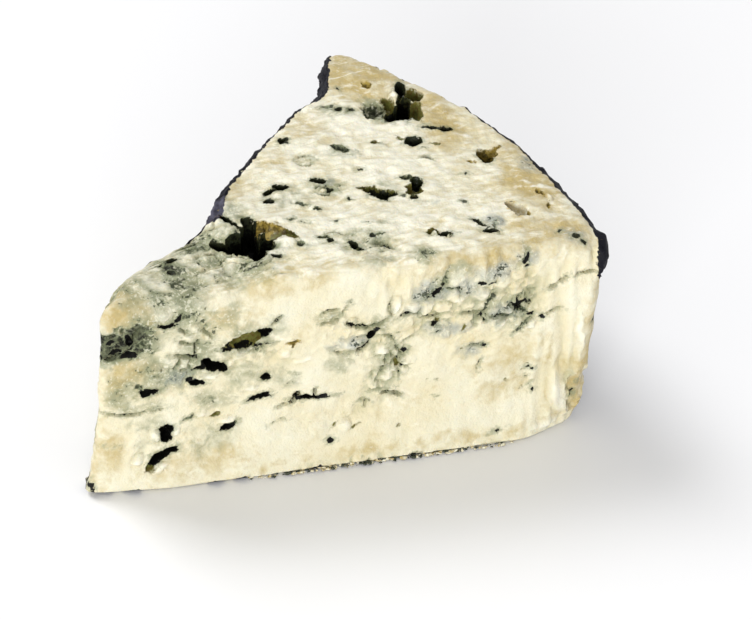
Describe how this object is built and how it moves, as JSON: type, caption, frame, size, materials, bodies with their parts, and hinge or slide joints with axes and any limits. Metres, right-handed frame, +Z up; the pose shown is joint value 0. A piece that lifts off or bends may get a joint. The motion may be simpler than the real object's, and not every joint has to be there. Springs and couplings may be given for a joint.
{
  "type": "blue cheese wedge",
  "caption": "Wedge of blue-veined cheese cut from a halved small wheel, with pitted cut faces, a dark thin rind on its curved rim and a flat base to stand on.",
  "frame": {"origin": "middle of the bounding box, at the height of the flat base", "axes": "+X along the front cut from the tip to the curved rim, -Y out of the front cut, +Z up out of the level top cut"},
  "size_m": [0.0992, 0.0746, 0.0453],
  "materials": {
    "paste": null
  },
  "bodies": {
    "root": {"cheese_wedge": "paste"}
  },
  "joints": []
}
